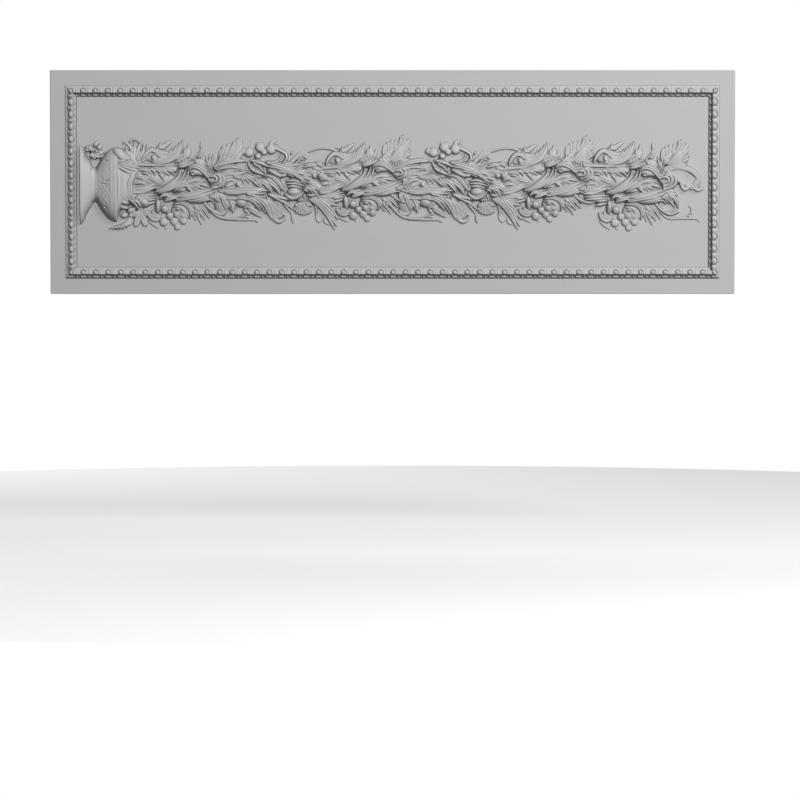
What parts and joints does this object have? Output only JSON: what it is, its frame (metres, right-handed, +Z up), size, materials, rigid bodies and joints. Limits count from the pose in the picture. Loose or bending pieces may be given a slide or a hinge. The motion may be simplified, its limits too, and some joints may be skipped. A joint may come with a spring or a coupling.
{
  "type": "carved panel",
  "caption": "Long rectangular relief panel with an egg-and-dart border and an urn from which a spray of acanthus, blossoms and berries grows",
  "frame": {"origin": "centre of the flat back face, which lies against the wall or carcass", "axes": "+X along the panel from the urn's foot to the ribbon, +Z up, +Y out of the back, so the carving faces -Y"},
  "size_m": [1.2, 0.043, 0.392],
  "materials": {
    "primed_wood": "carved wood in a flat grey primer, matt, a little darker in the recesses"
  },
  "bodies": {
    "root": {"carved_panel": "primed_wood"}
  },
  "joints": []
}
